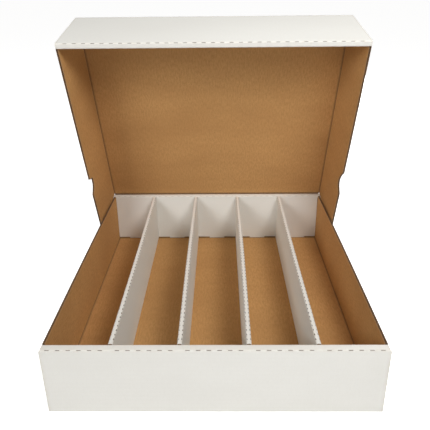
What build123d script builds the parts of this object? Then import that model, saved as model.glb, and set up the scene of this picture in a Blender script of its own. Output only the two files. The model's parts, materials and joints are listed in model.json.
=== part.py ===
from build123d import *
from math import cos, radians, sin
import os

os.makedirs("parts", exist_ok=True)

# Five-row card storage box of corrugated board with an attached lid.
# Millimetres, +Z up, the front wall faces -Y, the lid stands open at the back.
# Sketches measure y from the front face; the parts are exported about the middle of
# the underside, which is the origin.

# ---- overall sizes of the base -------------------------------------------------
base_width = 400.0
base_depth = 350.0
base_height = 96.0
board = 2.8                   # thickness of one ply of corrugated board
ply_gap = 0.05                # air between two plies that lie face to face
crease_radius = 1.8           # outer rounding of a folded crease
side_wall_inset = 1.4         # side walls stand this far inside the front wall's ends
seat_gap = 0.3                # clearance of a panel edge that only rests near another

# ---- rolled-over front and back walls ------------------------------------------
rolled_wall = 3 * board       # outer ply, corner flap, inner ply
inner_panel_gap = 2.0         # inner panel's lower edge stands this far above the floor
corner_flap_length = 92.0
row_count = 5
row_pitch = 80.0
tab_width = 29.0
tab_end_gap = 0.5             # the tab stops this far short of the underside
tab_slot_clearance = 0.4

# ---- crease perforations ---------------------------------------------------------
slit_length = 5.8
slit_width = 0.9
slit_depth = 1.5
slit_pitch = 12.1
slits_per_row = 6
slit_edge_offset = 1.3        # from the wall's face to the middle of the slits
lid_slit_pitch = 11.9
lid_slit_count = 33

# ---- folded dividers ---------------------------------------------------------------
divider_ply_gap = 0.3
divider_rim_gap = 0.3         # the ridge stays this far below the rim
divider_floor_gap = 0.3
divider_corner_radius = 5.0
divider_slit_length = 3.4
divider_slit_pitch = 9.6
divider_slit_count = 32
divider_slit_width = 0.8
tongue_length = 2.5           # reach of the end tongue into the wall's slot
tongue_height = 52.0
tongue_rim_gap = 6.0          # from the rim down to the tongue's upper end
tongue_slot_clearance = 0.4

# ---- lid -------------------------------------------------------------------------
lid_side_clearance = 0.6      # from the lid's side wall to the ends of the base walls
lid_front_clearance = 0.8     # closed, from the lid's front wall to the base front
lid_top_clearance = 0.4       # closed, from the lid's panel to the base rim
lid_wall_reach = 92.0         # from the middle of the panel to the free edge
lid_open_lean = 16.0          # degrees that the open lid leans forward of upright
lid_edge_gap = 2.4            # side walls start this far from the hinge line
notch_centre = 107.0          # thumb notch, from the hinge line
notch_width = 33.0
notch_depth = 9.5

# ---- hinge flap glued to the outside of the back wall ------------------------------
hinge_flap_width = 394.0
hinge_flap_bottom = 34.0
hinge_flap_gap = 2.2          # from the hinge line down to the flap's upper edge

half_width = base_width / 2
side_outer = half_width - side_wall_inset
side_inner = side_outer - board
wall_top = base_height - board          # underside of the rolled top strip
divider_width = 2 * board + divider_ply_gap
divider_xs = [(i - row_count / 2) * row_pitch for i in range(1, row_count)]
row_xs = [(i - (row_count - 1) / 2) * row_pitch for i in range(row_count)]
tongue_top = base_height - tongue_rim_gap
tongue_bottom = tongue_top - tongue_height

hinge_y = base_depth + board / 2
hinge_z = base_height + lid_top_clearance + board / 2
lid_inner = half_width + lid_side_clearance
lid_outer = lid_inner + board
lid_length = hinge_y + lid_front_clearance + rolled_wall
lean = radians(lid_open_lean)
# the lid's own frame: x along the hinge line, y from hinge to far edge, z into the lid
lid_frame = Plane(
    origin=(0, hinge_y, hinge_z), x_dir=(1, 0, 0), z_dir=(0, -cos(lean), -sin(lean))
)


def finish(solid, name):
    centred = Location((0, -base_depth / 2, 0)) * solid
    centred.label = name
    export_step(centred, f"parts/{name}.step")


# ---- base_floor: bottom panel with slots for the ten lock tabs ---------------------
tab_slot_y = 2.5 * board
with BuildPart() as base_floor:
    with BuildSketch():
        with Locations((0, base_depth / 2)):
            Rectangle(2 * side_inner, base_depth - 2 * board)
        for slot_y in (tab_slot_y, base_depth - tab_slot_y):
            with Locations([(x, slot_y) for x in row_xs]):
                Rectangle(tab_width + tab_slot_clearance, board + tab_slot_clearance,
                          mode=Mode.SUBTRACT)
    extrude(amount=board)
finish(base_floor.part, "base_floor")


# ---- side walls of the base: one ply, folded up from the floor ---------------------
def base_side_wall(side):
    with BuildPart() as wall:
        with BuildSketch(Plane.YZ.offset(side * (side_inner + board / 2))):
            with Locations((base_depth / 2, base_height / 2)):
                Rectangle(base_depth - 2 * board, base_height)
            # the rolled top strips of the front and back walls cover both upper corners
            with Locations([((board + rolled_wall) / 2, base_height - board / 2),
                            (base_depth - (board + rolled_wall) / 2, base_height - board / 2)]):
                Rectangle(rolled_wall - board, board, mode=Mode.SUBTRACT)
        extrude(amount=board / 2, both=True)
        outside = wall.faces().sort_by(Axis.X)[-1 if side > 0 else 0]
        fillet(outside.edges().sort_by(Axis.Z)[0], crease_radius)
    return wall.part


finish(base_side_wall(-1), "base_left_wall")
finish(base_side_wall(1), "base_right_wall")


# ---- front and back walls of the base, rolled over at the top ----------------------
# Each is drawn as the front wall; the back wall is its mirror image.
front_plane = Plane.XZ          # sketches here are in x and z, and extrude towards -y


def outer_panel():
    with BuildPart() as panel:
        with BuildSketch(front_plane.offset(-board)):
            with Locations((0, wall_top / 2)):
                Rectangle(base_width, wall_top)
        extrude(amount=board)
        face = panel.faces().sort_by(Axis.Y)[0]
        fillet(face.edges().sort_by(Axis.Z)[0], crease_radius)
    return panel.part


def top_strip():
    with BuildPart() as strip:
        with BuildSketch(Plane.XY.offset(wall_top)):
            with Locations((0, board / 2)):
                Rectangle(base_width, board)
            with Locations((0, (board + rolled_wall) / 2)):
                Rectangle(2 * side_outer, rolled_wall - board)
        extrude(amount=board)
        top = strip.faces().sort_by(Axis.Z)[-1]
        long_edges = top.edges().filter_by(Axis.X).sort_by(Axis.Y)
        fillet([long_edges[0], long_edges[-1]], crease_radius)
        with BuildSketch(Plane.XY.offset(base_height)):
            for slit_y in (slit_edge_offset, rolled_wall - slit_edge_offset):
                for row_x in row_xs:
                    with Locations((row_x, slit_y)):
                        with GridLocations(slit_pitch, 1, slits_per_row, 1):
                            Rectangle(slit_length, slit_width)
        extrude(amount=-slit_depth, mode=Mode.SUBTRACT)
    return strip.part


def inner_panel():
    panel_bottom = board + inner_panel_gap
    with BuildPart() as panel:
        with BuildSketch(front_plane.offset(-rolled_wall)):
            with Locations((0, (panel_bottom + wall_top) / 2)):
                Rectangle(2 * (side_inner - seat_gap), wall_top - panel_bottom)
            with Locations([(x, (tab_end_gap + panel_bottom + board) / 2) for x in row_xs]):
                Rectangle(tab_width, panel_bottom + board - tab_end_gap)
            with Locations([(x, (tongue_bottom + tongue_top) / 2) for x in divider_xs]):
                Rectangle(divider_width + tongue_slot_clearance,
                          tongue_top - tongue_bottom + tongue_slot_clearance,
                          mode=Mode.SUBTRACT)
        extrude(amount=board - ply_gap)
    return panel.part


def corner_flap(side):
    with BuildPart() as flap:
        with BuildSketch(front_plane.offset(-2 * board)):
            with Locations((side * (side_inner - corner_flap_length / 2),
                            (board + wall_top) / 2)):
                Rectangle(corner_flap_length, wall_top - board - seat_gap)
        extrude(amount=board - ply_gap)
    return flap.part


def at_back(solid):
    return mirror(solid, about=Plane.XZ.offset(-base_depth / 2))


finish(outer_panel(), "front_wall_outer_panel")
finish(top_strip(), "front_wall_top_strip")
finish(inner_panel(), "front_wall_inner_panel")
finish(corner_flap(-1), "front_left_corner_flap")
finish(corner_flap(1), "front_right_corner_flap")
finish(at_back(outer_panel()), "back_wall_outer_panel")
finish(at_back(top_strip()), "back_wall_top_strip")
finish(at_back(inner_panel()), "back_wall_inner_panel")
finish(at_back(corner_flap(-1)), "back_left_corner_flap")
finish(at_back(corner_flap(1)), "back_right_corner_flap")


# ---- dividers: a strip of board folded over into an upside-down U ------------------
divider_front = rolled_wall + seat_gap
divider_back = base_depth - rolled_wall - seat_gap
divider_bottom = board + divider_floor_gap
divider_top = base_height - divider_rim_gap
divider_middle_y = (divider_front + divider_back) / 2


def divider(x):
    with BuildPart() as folded:
        with BuildSketch(Plane.YZ.offset(x)) as outline:
            with Locations((divider_middle_y, (divider_bottom + divider_top) / 2)):
                Rectangle(divider_back - divider_front, divider_top - divider_bottom)
            upper = outline.vertices().group_by(Axis.Z)[-1]
            fillet(upper, divider_corner_radius)
            with Locations((divider_middle_y, (tongue_bottom + tongue_top) / 2)):
                Rectangle(divider_back - divider_front + 2 * tongue_length,
                          tongue_top - tongue_bottom)
        extrude(amount=divider_width / 2, both=True)
        ridge = folded.faces().sort_by(Axis.Z)[-1]
        fillet(ridge.edges().filter_by(Axis.Y), crease_radius)
        with BuildSketch(Plane.YZ.offset(x)):
            with Locations((divider_middle_y, (divider_bottom + divider_top - board) / 2)):
                Rectangle(base_depth, divider_top - board - divider_bottom)
        extrude(amount=divider_ply_gap / 2, both=True, mode=Mode.SUBTRACT)
        with BuildSketch(Plane.XY.offset(divider_top)):
            for side in (-1, 1):
                slit_x = x + side * (divider_width / 2 - slit_edge_offset)
                with Locations((slit_x, divider_middle_y)):
                    with GridLocations(1, divider_slit_pitch, 1, divider_slit_count):
                        Rectangle(divider_slit_width, divider_slit_length)
        extrude(amount=-slit_depth, mode=Mode.SUBTRACT)
    return folded.part


for number, divider_x in enumerate(divider_xs, start=1):
    finish(divider(divider_x), f"divider_{number}")


# ---- lid_panel: rounded along the hinge line, slots for the front wall's tabs ------
panel_half = board / 2
lid_tab_y = lid_length - 2.5 * board
with BuildPart() as lid_panel:
    with BuildSketch(lid_frame.offset(-panel_half)):
        with Locations((0, lid_length / 2)):
            Rectangle(2 * lid_outer, lid_length)
        with Locations([(x, lid_tab_y) for x in row_xs]):
            Rectangle(tab_width + tab_slot_clearance, board + tab_slot_clearance,
                      mode=Mode.SUBTRACT)
    extrude(amount=board)
    outside = lid_panel.faces().sort_by(Axis(lid_frame.origin, lid_frame.z_dir))[0]
    outline_edges = outside.outer_wire().edges().sort_by(
        lambda e: lid_frame.to_local_coords(e.center()).Y
    )
    fillet(outline_edges[1:], crease_radius)
    hinge_bead_length = 2 * (lid_outer - crease_radius)
    bead_plane = Plane(
        origin=lid_frame.from_local_coords(Vector(-hinge_bead_length / 2, 0, 0)),
        x_dir=lid_frame.y_dir, z_dir=lid_frame.x_dir,
    )
    with BuildSketch(bead_plane):
        Circle(panel_half)
    extrude(amount=hinge_bead_length)
finish(lid_panel.part, "lid_panel")


# ---- lid side walls with thumb notches in the free edge ----------------------------
def lid_side_wall(side):
    start = lid_edge_gap
    end = lid_length - board
    notch_radius = (notch_width ** 2 / 4 + notch_depth ** 2) / (2 * notch_depth)
    wall_plane = Plane(
        origin=lid_frame.from_local_coords(Vector(side * (lid_inner + board / 2), 0, 0)),
        x_dir=lid_frame.y_dir, z_dir=lid_frame.x_dir,
    )
    with BuildPart() as wall:
        with BuildSketch(wall_plane):
            with Locations(((start + end) / 2, (panel_half + lid_wall_reach) / 2)):
                Rectangle(end - start, lid_wall_reach - panel_half)
            with Locations((notch_centre, lid_wall_reach + notch_radius - notch_depth)):
                Circle(notch_radius, mode=Mode.SUBTRACT)
            # the rolled edge strip of the front wall covers the far corner
            with Locations((lid_length - (board + rolled_wall) / 2,
                            lid_wall_reach - board / 2)):
                Rectangle(rolled_wall - board, board, mode=Mode.SUBTRACT)
        extrude(amount=board / 2, both=True)
    return wall.part


finish(lid_side_wall(-1), "lid_left_wall")
finish(lid_side_wall(1), "lid_right_wall")

# ---- lid front wall: outer panel, rolled edge strip, inner panel, corner flaps -----
lid_wall_top = lid_wall_reach - board


def lid_wall_plane(distance):
    """Plane across the lid at a distance from the hinge line, x sideways, y into the lid."""
    return Plane(
        origin=lid_frame.from_local_coords(Vector(0, distance, 0)),
        x_dir=lid_frame.x_dir, z_dir=-lid_frame.y_dir,
    )


with BuildPart() as lid_front_outer:
    with BuildSketch(lid_wall_plane(lid_length)):
        with Locations((0, (panel_half + lid_wall_top) / 2)):
            Rectangle(2 * lid_outer, lid_wall_top - panel_half)
    extrude(amount=board)
finish(lid_front_outer.part, "lid_front_wall_outer_panel")

with BuildPart() as lid_edge_strip:
    with BuildSketch(lid_frame.offset(lid_wall_top)):
        with Locations((0, lid_length - rolled_wall / 2)):
            Rectangle(2 * lid_outer, rolled_wall)
    extrude(amount=board)
    rim = lid_edge_strip.edges().filter_by(Axis.X).filter_by(
        lambda e: abs(lid_frame.to_local_coords(e.center()).Z - lid_wall_reach) < 0.01
    )
    rim_by_distance = rim.sort_by(lambda e: lid_frame.to_local_coords(e.center()).Y)
    fillet([rim_by_distance[0], rim_by_distance[-1]], crease_radius)
    with BuildSketch(lid_frame.offset(lid_wall_reach)):
        for slit_y in (slit_edge_offset, rolled_wall - slit_edge_offset):
            with Locations((0, lid_length - slit_y)):
                with GridLocations(lid_slit_pitch, 1, lid_slit_count, 1):
                    Rectangle(slit_length, slit_width)
    extrude(amount=-slit_depth, mode=Mode.SUBTRACT)
finish(lid_edge_strip.part, "lid_front_wall_edge_strip")

with BuildPart() as lid_front_inner:
    with BuildSketch(lid_wall_plane(lid_length - 2 * board)):
        with Locations((0, (panel_half + inner_panel_gap + lid_wall_top) / 2)):
            Rectangle(2 * (lid_inner - seat_gap), lid_wall_top - panel_half - inner_panel_gap)
        tab_start = tab_end_gap - panel_half
        tab_end = panel_half + inner_panel_gap + board
        with Locations([(x, (tab_start + tab_end) / 2) for x in row_xs]):
            Rectangle(tab_width, tab_end - tab_start)
    extrude(amount=board - ply_gap)
finish(lid_front_inner.part, "lid_front_wall_inner_panel")


def lid_corner_flap(side):
    with BuildPart() as flap:
        with BuildSketch(lid_wall_plane(lid_length - board)):
            with Locations((side * (lid_inner - corner_flap_length / 2),
                            (panel_half + lid_wall_top) / 2)):
                Rectangle(corner_flap_length, lid_wall_top - panel_half - seat_gap)
        extrude(amount=board - ply_gap)
    return flap.part


finish(lid_corner_flap(-1), "lid_left_corner_flap")
finish(lid_corner_flap(1), "lid_right_corner_flap")

# ---- hinge flap: the lid board's glued flap on the outside of the back wall --------
hinge_flap_top = hinge_z - hinge_flap_gap
with BuildPart() as hinge_flap:
    with BuildSketch(front_plane.offset(-base_depth - board)):
        with Locations((0, (hinge_flap_bottom + hinge_flap_top) / 2)):
            Rectangle(hinge_flap_width, hinge_flap_top - hinge_flap_bottom)
    extrude(amount=board)
finish(hinge_flap.part, "lid_hinge_flap")
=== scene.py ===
import json
from math import cos, pi, radians, sin

import bpy
import numpy as np
from bpy.props import (
    FloatProperty, FloatVectorProperty, IntProperty, PointerProperty,
)
from mathutils import Matrix, Vector


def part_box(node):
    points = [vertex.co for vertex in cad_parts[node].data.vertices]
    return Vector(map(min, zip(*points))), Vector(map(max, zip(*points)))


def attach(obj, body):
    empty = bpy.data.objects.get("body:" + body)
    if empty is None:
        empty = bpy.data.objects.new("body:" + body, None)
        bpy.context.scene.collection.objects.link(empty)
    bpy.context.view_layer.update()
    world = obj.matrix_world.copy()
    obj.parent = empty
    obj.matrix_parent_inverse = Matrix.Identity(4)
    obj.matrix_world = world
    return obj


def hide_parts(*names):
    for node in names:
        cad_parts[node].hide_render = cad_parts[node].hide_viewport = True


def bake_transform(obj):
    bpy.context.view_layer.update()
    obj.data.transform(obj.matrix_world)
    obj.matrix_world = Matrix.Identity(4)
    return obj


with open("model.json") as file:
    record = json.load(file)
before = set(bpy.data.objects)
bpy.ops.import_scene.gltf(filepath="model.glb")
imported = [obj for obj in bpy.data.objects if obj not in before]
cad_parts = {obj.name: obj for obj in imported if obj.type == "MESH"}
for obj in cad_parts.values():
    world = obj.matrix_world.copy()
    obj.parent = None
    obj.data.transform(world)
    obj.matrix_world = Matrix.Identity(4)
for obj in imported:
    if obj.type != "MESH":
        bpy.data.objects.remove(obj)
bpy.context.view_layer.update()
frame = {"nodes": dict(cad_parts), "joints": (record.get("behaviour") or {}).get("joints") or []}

bl_info = {
    "name": "Folded Card Storage Box",
    "version": (1, 0, 0),
    "blender": (4, 5, 0),
    "location": "View3D > Sidebar > Card Box",
    "description": "Builds the folded corrugated boards, papers and studio of a card storage box",
    "category": "Object",
}

MM = 0.001
OUTER, INNER, RAW_EDGE = range(3)               # material slots of a sheet's papers
PLY_GAP = 0.05 * MM                             # air between plies that lie face to face
STEP = 0.02 * MM                                # half the width of a sudden step in an edge
FLUTE_SETBACK = 0.15 * MM                       # waved paper ends this far inside the liners
END_MARGIN = 0.6 * MM                           # narrow column at each end of a rolled wall
DIVIDER_GAP = 0.3 * MM                          # from a divider's end to the wall


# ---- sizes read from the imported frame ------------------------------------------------
def box_of(node):
    """Lowest and highest corner of a node at rest, as two arrays."""
    low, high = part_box(node)
    return np.array(low), np.array(high)


outer_low, outer_high = box_of("front_wall_outer_panel")
strip_low, strip_high = box_of("front_wall_top_strip")
inner_low, inner_high = box_of("front_wall_inner_panel")
side_low, side_high = box_of("base_left_wall")
floor_high = box_of("base_floor")[1]
flap_high = box_of("front_left_corner_flap")[1]
hinge_flap_low, hinge_flap_high = box_of("lid_hinge_flap")

half_width = outer_high[0]
front_y = outer_low[1]
back_y = box_of("back_wall_outer_panel")[1][1]
board = outer_high[1] - outer_low[1]            # thickness of one ply
ply = board - PLY_GAP                           # the same, as it is drawn
wall_top = outer_high[2]                        # underside of the rolled top strip
rim = strip_high[2]
rolled_depth = strip_high[1] - strip_low[1]
side_outer = -side_low[0]
inner_half = inner_high[0]
tab_drop_z = inner_low[2]
flap_reach = side_outer + flap_high[0]          # corner flap's end, from the side face
row_pitch = box_of("divider_2")[0][0] - box_of("divider_1")[0][0]
row_xs = row_pitch * (np.arange(5) - 2)         # middles of the five card rows
divider_names = [f"divider_{number}" for number in range(1, 5)]

hinge_place = np.array(frame["joints"][0]["pos_m"])


class OpenLid:
    """The open lid's own directions: away from the hinge, and into the lid's hollow."""

    def __init__(self, lean):
        self.away = np.array([0, -sin(lean), cos(lean)])
        self.into = np.array([0, -cos(lean), -sin(lean)])

    def place(self, sideways, distance, height):
        """Places of points given by x, distance from the hinge and height into the lid."""
        sideways = np.stack([sideways, 0 * sideways, 0 * sideways], axis=-1)
        return (hinge_place + sideways + distance[..., None] * self.away
                + height[..., None] * self.into)

    def box_of(self, node):
        """Lowest and highest x, distance from the hinge and height into the lid of a node."""
        mesh = frame["nodes"][node].data
        points = np.empty(3 * len(mesh.vertices))
        mesh.vertices.foreach_get("co", points)
        points = points.reshape(-1, 3) - hinge_place
        own = np.stack([points[:, 0], points @ self.away, points @ self.into], axis=1)
        return own.min(axis=0), own.max(axis=0)


# ---- sizes and colours that a user would change ----------------------------------------
def length_prop(name, description, millimetres):
    """A length property with its default in millimetres."""
    return FloatProperty(
        name=name, description=description, default=millimetres * MM, unit="LENGTH")


def colour_prop(name, description, default):
    """A colour property of a paper."""
    return FloatVectorProperty(
        name=name, description=description, subtype="COLOR", default=default, min=0, max=1)


def place_prop(name, description, default):
    """A place in the studio, in metres."""
    return FloatVectorProperty(
        name=name, description=description, subtype="TRANSLATION", unit="LENGTH",
        default=default)


def power_prop(name, description, default):
    """A lamp's power in watts."""
    return FloatProperty(name=name, description=description, default=default, subtype="POWER")


def angle_prop(name, description, default):
    """An angle in radians."""
    return FloatProperty(name=name, description=description, default=default, subtype="ANGLE")


class BoardSettings(bpy.types.PropertyGroup):
    """The corrugated board itself."""

    flute_pitch: length_prop("Flute pitch", "Distance from one flute to the next", 6.4)
    liner: length_prop("Liner thickness", "Thickness of each flat facing paper", 0.4)
    medium: length_prop("Medium thickness", "Thickness of the waved paper in the middle", 0.3)
    crease_radius: length_prop("Crease radius", "Outer rounding of a folded crease", 1.8)
    corner_radius: length_prop("Corner radius", "Rounding of a rolled wall's upper ends", 2.8)
    back_corner_radius: length_prop("Back corner radius", "Rounding of the back wall's upper ends", 0.6)
    back_spread: length_prop("Back spread", "How far the back wall's ends stand out sideways", 0.45)
    crushed_reach: length_prop("Crushed reach", "How far a perforated crease flattens the flutes", 3.5)
    bow: length_prop("Panel bow", "How far a free edge bows out at the middle", 0.7)


class CreaseSettings(bpy.types.PropertyGroup):
    """The cut-and-land creases and the lock tabs."""

    slit_length: length_prop("Slit length", "Length of one cut along a wall's crease", 4.9)
    slit_width: length_prop("Slit width", "Opening of one cut", 0.17)
    slit_depth: length_prop("Slit depth", "Depth of one cut", 1.3)
    slit_lip: length_prop("Slit lip", "Width of the sloping edge all round a cut", 0.12)
    base_pitch: length_prop("Base slit pitch", "From slit to slit on the base", 12.1)
    base_count: IntProperty(
        name="Slits per row", description="Slits over each card row of the base", default=6)
    lid_pitch: length_prop("Lid slit pitch", "From slit to slit on the lid", 11.9)
    lid_count: IntProperty(
        name="Lid slits", description="Slits along the lid's front edge", default=33)
    divider_length: length_prop("Divider slit length", "Length of one cut along a divider's ridge", 2.3)
    divider_width: length_prop("Divider slit width", "Opening of one cut in a ridge", 0.66)
    divider_pitch: length_prop("Divider slit pitch", "From slit to slit on a ridge", 6.5)
    ridge_front: length_prop("Ridge front corner", "Rounding of a ridge's front end", 0.4)
    ridge_back: length_prop("Ridge back corner", "Rounding of a ridge's back end", 1.6)
    # Width of the dark line along the brown side's edges: a pressed score and painted shade where the
    # panel meets its walls.
    score_and_shade_width: length_prop("Score width", "Dark line pressed along a fold of the brown side", 3.4)
    tab_width: length_prop("Lock tab width", "Width of each tab that locks into the floor", 29)
    panel_gap: length_prop("Inner panel gap", "Inner panel's edge above the floor between tabs", 2)
    hinge_overlap: length_prop("Hinge overlap", "How far the lid's side walls pass the hinge line", 2.6)
    ear_height: length_prop("Ear height", "Height of the part that passes the hinge line", 18)
    notch_centre: length_prop("Notch place", "Thumb notch's middle, from the hinge line", 107)
    notch_near: length_prop("Notch near half", "Notch's run-out on its hinge side", 17)
    notch_far: length_prop("Notch far half", "Crisp notch's reach away from the hinge", 16)
    notch_far_worn: length_prop(
        "Worn notch far half", "Right, softened notch's reach from its middle", 28)
    notch_depth: length_prop("Notch depth", "Thumb notch into the lid's side wall", 11)


class PaperSettings(bpy.types.PropertyGroup):
    """Colours of the papers."""

    white: colour_prop("White liner", "Bleached facing", (0.82, 0.808, 0.762))
    white_shade: colour_prop(
        "White liner, dull", "Duller patches of the bleached facing", (0.74, 0.722, 0.672))
    kraft: colour_prop("Kraft liner", "Brown facing", (0.645, 0.362, 0.14))
    kraft_shade: colour_prop(
        "Kraft liner, dark", "Darker fibres and patches of the brown facing", (0.43, 0.222, 0.078))
    flute: colour_prop("Flute paper", "Waved paper between the facings", (0.36, 0.205, 0.098))
    # Dark fibres of a cut, made dark enough to be painted shade inside the slits and along the brown
    # side's edges; also the kraft's flecks and the flute paper's darker patches.
    cut: colour_prop("Cut edge", "Torn fibres inside a cut", (0.12, 0.078, 0.048))
    scuff: colour_prop("Scuff", "Rubbed paper along creases and edges", (0.60, 0.50, 0.38))


class StudioSettings(bpy.types.PropertyGroup):
    """Camera, lights and stage."""

    lid_lean: angle_prop("Lid lean", "How far the open lid leans forward of upright", radians(16))
    camera_place: place_prop("Camera place", "Where the camera stands", (0.0095, -0.5247, 0.4925))
    camera_tilt: angle_prop("Camera tilt", "How far the camera looks down", 0.3041)
    camera_turn: angle_prop("Camera turn", "How far the camera is turned sideways", -0.0109)
    camera_roll: angle_prop("Camera roll", "How far the camera is rolled", -0.0105)
    lens: FloatProperty(
        name="Lens", description="Focal length in millimetres on a 36 mm sensor", default=33.61)
    shift_x: FloatProperty(name="Shift x", description="Sideways lens shift", default=-0.0039)
    shift_y: FloatProperty(name="Shift y", description="Downward lens shift", default=-0.2494)
    left_place: place_prop("Left light place", "Where the far left light stands", (-0.95, -1.25, 1.15))
    left_size: length_prop("Left light size", "Side of the far left light", 700)
    left_power: power_prop("Left light", "Power of the far soft light at the left", 13.1)
    right_place: place_prop("Right light place", "Where the near right light stands", (0.38, -0.62, 1))
    right_size: length_prop("Right light size", "Side of the near right light", 400)
    right_power: power_prop("Right light", "Power of the near soft light at the right", 7.7)
    back_place: place_prop("Back light place", "Where the light behind stands", (0.6, 1.6, 0.45))
    back_size: length_prop("Back light size", "Side of the light behind", 800)
    back_power: power_prop("Back light", "Power of the soft light behind the box", 16)
    light_target: place_prop("Light target", "The point that all lights face", (0, 0, 0.12))
    fill_level: FloatProperty(
        name="Fill level", description="Strength of the light from all round", default=0.16)
    fill_colour: colour_prop("Fill colour", "Colour of the light from all round", (1, 0.985, 0.96))
    floor_colour: colour_prop("Floor colour", "Colour of the plain floor", (0.86, 0.86, 0.86))
    floor_glow: FloatProperty(
        name="Floor glow", description="What lifts the floor to white for the camera",
        default=0.84)
    floor_reach: length_prop("Floor reach", "From the middle of the floor to its edges", 30000)


class CardBoxSettings(bpy.types.PropertyGroup):
    """Everything that the card box operators read."""

    board: PointerProperty(type=BoardSettings)
    creases: PointerProperty(type=CreaseSettings)
    papers: PointerProperty(type=PaperSettings)
    studio: PointerProperty(type=StudioSettings)


# ---- folded lines: the cross-section of a creased board ------------------------------
STRAIGHT = 1e-6                                 # a turn below this is no corner, in radians
SHARP_RADIUS = 0.01 * MM                        # rounding of a fold's inner corner
SAME_ROW = 0.005 * MM                           # rows closer than this are one row
ARC_STEPS = 8
EVEN_ROWS = 5                                   # rows that every panel has


def rounded_line(corners, radius):
    """A line through corner points with each inner corner replaced by an arc.

    The arc starts radius * tan(turn / 2) before the corner. Its points are the centre plus
    the blend of the first and last spokes by sin((1 - t) turn) and sin(t turn)."""
    corners = np.asarray(corners, float)
    runs = np.diff(corners, axis=0)
    runs /= np.linalg.norm(runs, axis=1)[:, None]
    pieces = [corners[:1]]
    t = np.linspace(0, 1, ARC_STEPS + 1)[:, None]
    for corner, before, after in zip(corners[1:-1], runs[:-1], runs[1:]):
        turn = np.arccos(np.clip(before @ after, -1, 1))
        if turn < STRAIGHT:
            pieces.append(np.repeat(corner[None], ARC_STEPS + 1, axis=0))
            continue
        inward = (after - before) / np.linalg.norm(after - before)
        reach = radius * np.tan(turn / 2)
        centre = corner + inward * radius / np.cos(turn / 2)
        first = corner - before * reach - centre
        last = corner + after * reach - centre
        spokes = (np.sin((1 - t) * turn) * first + np.sin(t * turn) * last) / np.sin(turn)
        pieces.append(centre + spokes)
    pieces.append(corners[-1:])
    return np.concatenate(pieces)


def moved_inwards(corners, thickness, side):
    """The same corners moved square to the line by a thickness, mitred at each corner."""
    corners = np.asarray(corners, float)
    runs = np.diff(corners, axis=0)
    runs /= np.linalg.norm(runs, axis=1)[:, None]
    square = side * np.stack([-runs[:, 1], runs[:, 0]], axis=1)
    before = np.concatenate([square[:1], square])
    after = np.concatenate([square, square[-1:]])
    share = 1 + np.sum(before * after, axis=1, keepdims=True)
    return corners + thickness * (before + after) / share


class Fold:
    """A creased board's section: its outer and inner faces as lines of equal length in points."""

    def __init__(self, corners, thickness, radius, side=1):
        self.thickness = thickness
        self.outer = rounded_line(corners, radius)
        inner_corners = moved_inwards(corners, thickness, side)
        self.inner = rounded_line(inner_corners, SHARP_RADIUS)
        middle = (self.outer + self.inner) / 2
        lengths = np.linalg.norm(np.diff(middle, axis=0), axis=1)
        self.way = np.concatenate([[0], np.cumsum(lengths)])
        arcs = np.arange(len(corners) - 2) * (ARC_STEPS + 1) + 1
        self.arc_starts = self.way[arcs]
        self.arc_ends = self.way[arcs + ARC_STEPS]
        self.arc_middles = self.way[arcs + ARC_STEPS // 2]
        self.end = self.way[-1]

    def at(self, way, depth):
        """Point at a distance along the fold and a depth below the outer face."""
        share = depth / self.thickness
        flat = [np.interp(way, self.way, self.outer[:, k]) * (1 - share)
                + np.interp(way, self.way, self.inner[:, k]) * share for k in (0, 1)]
        return np.stack(flat, axis=-1)

    def rows(self, first, last, extra=()):
        """Distances from first to last that keep every arc's points and some extra ones."""
        inside = self.way[(self.way > first + STEP) & (self.way < last - STEP)]
        even = np.linspace(first, last, EVEN_ROWS)
        rows = np.sort(np.concatenate([inside, even, [x for x in extra if first < x < last]]))
        keep = np.concatenate([[True], np.diff(rows) > SAME_ROW])
        return rows[keep]


# ---- sheets: closed thin shells over a grid ---------------------------------------------
MAP_OFFSET = (0.37, 0.61)                       # shifts the paper's pattern from piece to piece
SHARP_EDGE = radians(32)                        # edges turned further than this stay sharp
SLIT_SHADE_DEPTH = 1 * MM                             # a cut this deep shows only the dark cut colour, painted shade that deepens with the cut
POINTS_PER_FLUTE = 12
COLUMNS = 9                                     # even columns along a board


def shell_faces(count_i, count_j, start):
    """Quads of a closed shell whose two faces are grids of count_i by count_j points."""
    i, j = np.meshgrid(np.arange(count_i - 1), np.arange(count_j - 1), indexing="ij")
    corner = (start + i * count_j + j).ravel()
    upper = np.stack([corner, corner + count_j, corner + count_j + 1, corner + 1], axis=1)
    lower = upper[:, ::-1] + count_i * count_j
    top = start + np.arange(count_j)
    bottom = top + (count_i - 1) * count_j
    left = start + np.arange(count_i) * count_j
    right = left + count_j - 1
    rim = []
    for line, flip in ((top, False), (bottom, True), (left, True), (right, False)):
        first, second = line[:-1], line[1:]
        quad = np.stack([first, second, second + count_i * count_j, first + count_i * count_j],
                        axis=1)
        rim.append(quad[:, ::-1] if flip else quad)
    return np.concatenate([upper, lower, *rim])


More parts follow.
